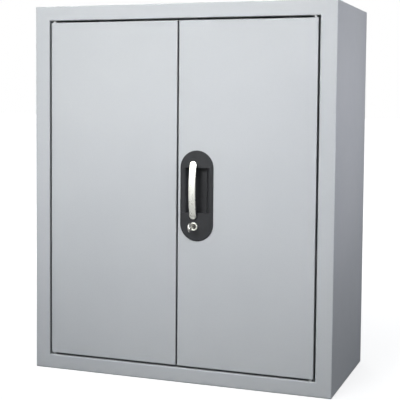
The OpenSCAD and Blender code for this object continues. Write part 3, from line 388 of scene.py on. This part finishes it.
def satin_metal(name, dark, light, stretch, smooth, rough, depth=0.00003):
    """Brushed plating: fine lines along the axis with the small stretch, and a soft cloud."""
    material, tree, shader, place = start(name)
    lines = noise(tree, place, scale=900, detail=3.0, rough=0.55, stretch=stretch)
    cloud = noise(tree, place, scale=60, detail=4.0, rough=0.6)
    base = laid_on(tree, dark, light, lines, none=0.35, full=0.65)
    base = laid_on(tree, base, light, edge_mask(tree, radius=0.0008, full_at=0.92),
                   none=0.3, full=1.0, most=0.4)
    feed(tree, shader, "Base Color", base)
    shader.inputs["Metallic"].default_value = 1
    swing = (rough - smooth) / 3
    feed(tree, shader, "Roughness", maths(tree, "ADD", across(tree, cloud, smooth, rough),
                                          across(tree, lines, -swing, swing)))
    bumps(tree, shader,
          relief(lines, depth=depth, strength=0.5),
          relief(noise(tree, place, scale=2000, detail=1.0), depth=depth / 3, strength=0.4))
    return material


def soft_plastic(name, dark, light, smooth, rough, grain):
    """Moulded nylon, catch plastic or rubber: a clouded colour and a matt fine grain."""
    edge_lift = 1.35
    worn = tuple(min(1.0, channel * edge_lift) for channel in light[:3]) + (1,)
    material, tree, shader, place = start(name)
    cloud = noise(tree, place, scale=90, detail=4.0, rough=0.6)
    base = laid_on(tree, dark, light, cloud, none=NOISE_LOW, full=NOISE_HIGH)
    base = laid_on(tree, base, worn, edge_mask(tree, radius=0.0008, full_at=0.92),
                   none=0.3, full=1.0, most=0.3)
    feed(tree, shader, "Base Color", base)
    patches = noise(tree, place, scale=240, detail=3.0, rough=0.6)
    feed(tree, shader, "Roughness", across(tree, patches, smooth, rough))
    bumps(tree, shader, relief(noise(tree, place, scale=grain), depth=0.00004, strength=0.5))
    return material


ALONG_Z = (1, 1, 0.04)
ALONG_Y = (1, 0.06, 1)
FINISHES = {
    "powder_coat": powder_coat(),
    "zinc_plate": zinc_plate(),
    "gear_steel": gear_steel(),
    "black_plastic": black_plastic(),
    "satin_nickel": satin_metal(
        "satin_nickel", dark=(0.88, 0.885, 0.82, 1), light=(0.95, 0.96, 0.89, 1),
        stretch=ALONG_Z, smooth=0.24, rough=0.34),
    "bright_steel": satin_metal(
        "bright_steel", dark=(0.84, 0.84, 0.84, 1), light=(0.93, 0.93, 0.93, 1),
        stretch=ALONG_Z, smooth=0.03, rough=0.06, depth=0.000002),
    "pin_steel": satin_metal(
        "pin_steel", dark=(0.36, 0.37, 0.38, 1), light=(0.50, 0.51, 0.52, 1),
        stretch=(1, 1, 0.3), smooth=0.40, rough=0.52),
    # Dark steel, made near-black as painted shade: it stands in for the key's shadow and the keyway
    # on the plug's face
    "plug_steel_painted_shade": satin_metal(
        "plug_steel_painted_shade", dark=(0.10, 0.098, 0.092, 1), light=(0.17, 0.165, 0.155, 1),
        stretch=(1, 1, 1), smooth=0.34, rough=0.46),
    "key_steel": satin_metal(
        "key_steel", dark=(0.70, 0.69, 0.66, 1), light=(0.82, 0.81, 0.78, 1),
        stretch=ALONG_Y, smooth=0.22, rough=0.34),
    "nylon": soft_plastic(
        "nylon", dark=(0.62, 0.60, 0.53, 1), light=(0.74, 0.72, 0.65, 1),
        smooth=0.38, rough=0.52, grain=900),
    "catch_plastic": soft_plastic(
        "catch_plastic", dark=(0.030, 0.030, 0.033, 1), light=(0.048, 0.048, 0.052, 1),
        smooth=0.42, rough=0.56, grain=1400),
    "rubber": soft_plastic(
        "rubber", dark=(0.020, 0.020, 0.021, 1), light=(0.034, 0.034, 0.035, 1),
        smooth=0.70, rough=0.86, grain=1100),
}
# Nodes whose surface differs from the rest of their slot
OWN_FINISH = {
    # The lock plug's dark finish is partly painted shade of the key and the keyway
    "lock_plug": "plug_steel_painted_shade",
    "top_rod": "bright_steel",
    "bottom_rod": "bright_steel",
    "hinge_pins": "pin_steel",
}

# ---------------------------------------------------------------- CAD nodes
# Rounding of the edges by slot, in metres
ROUNDING = {
    "powder_coat": 0.00035,
    "zinc_plate": 0.00020,
    "gear_steel": 0.00012,
    "black_plastic": 0.00040,
    "satin_nickel": 0.00030,
    "key_steel": 0.00018,
    "nylon": 0.00025,
    "catch_plastic": 0.00040,
    "rubber": 0.00040,
}
ROUNDING_STEPS = 2
# Degrees between two faces from which their edge is rounded
SHARP_FROM = 40
# Metres below which two corners are one
SAME_CORNER = 0.000002


def dress(part, slot, finish):
    """Gives a node its finish and rounds its edges."""
    part.data.materials.clear()
    part.data.materials.append(FINISHES[finish])
    weld = part.modifiers.new("weld", "WELD")
    weld.merge_threshold = SAME_CORNER
    bevel = part.modifiers.new("round_edges", "BEVEL")
    bevel.width = ROUNDING[slot]
    bevel.segments = ROUNDING_STEPS
    bevel.limit_method = "ANGLE"
    bevel.angle_limit = math.radians(SHARP_FROM)
    bevel.use_clamp_overlap = True
    bevel.harden_normals = False
    even = part.modifiers.new("even_normals", "WEIGHTED_NORMAL")
    even.keep_sharp = False


for row in frame["record"]["subparts"]:
    node, slot = row["node"], row["material_slot"]
    dress(frame["nodes"][node], slot, OWN_FINISH.get(node, slot))
